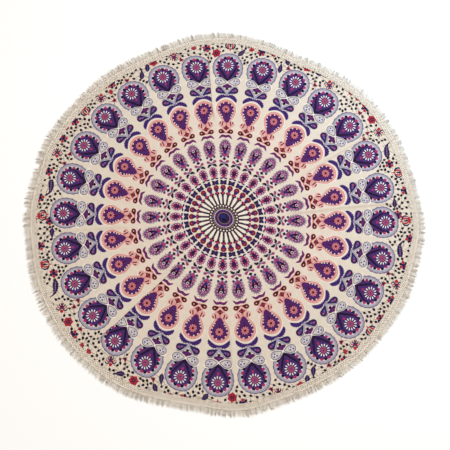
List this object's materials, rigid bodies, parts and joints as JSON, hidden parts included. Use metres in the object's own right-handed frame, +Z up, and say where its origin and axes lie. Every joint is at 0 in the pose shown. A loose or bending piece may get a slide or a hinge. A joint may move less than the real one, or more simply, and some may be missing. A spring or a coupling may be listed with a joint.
{
  "type": "round fringed beach towel",
  "caption": "Round printed cotton beach towel lying open, gently creased, with a lace tape and a cotton fringe sewn round its hem.",
  "frame": {"origin": "on the ground under the middle of the towel's outline", "axes": "+Z up out of the printed face, +X along the towel's slightly longer width, +Y towards the far edge as pictured"},
  "size_m": [1.852, 1.7886, 0.011],
  "materials": {
    "cotton": "matt printed plain-weave cotton",
    "lace": "matt crocheted cotton"
  },
  "bodies": {
    "root": {"printed_cloth": "cotton", "fringed_trim": "lace"}
  },
  "joints": []
}
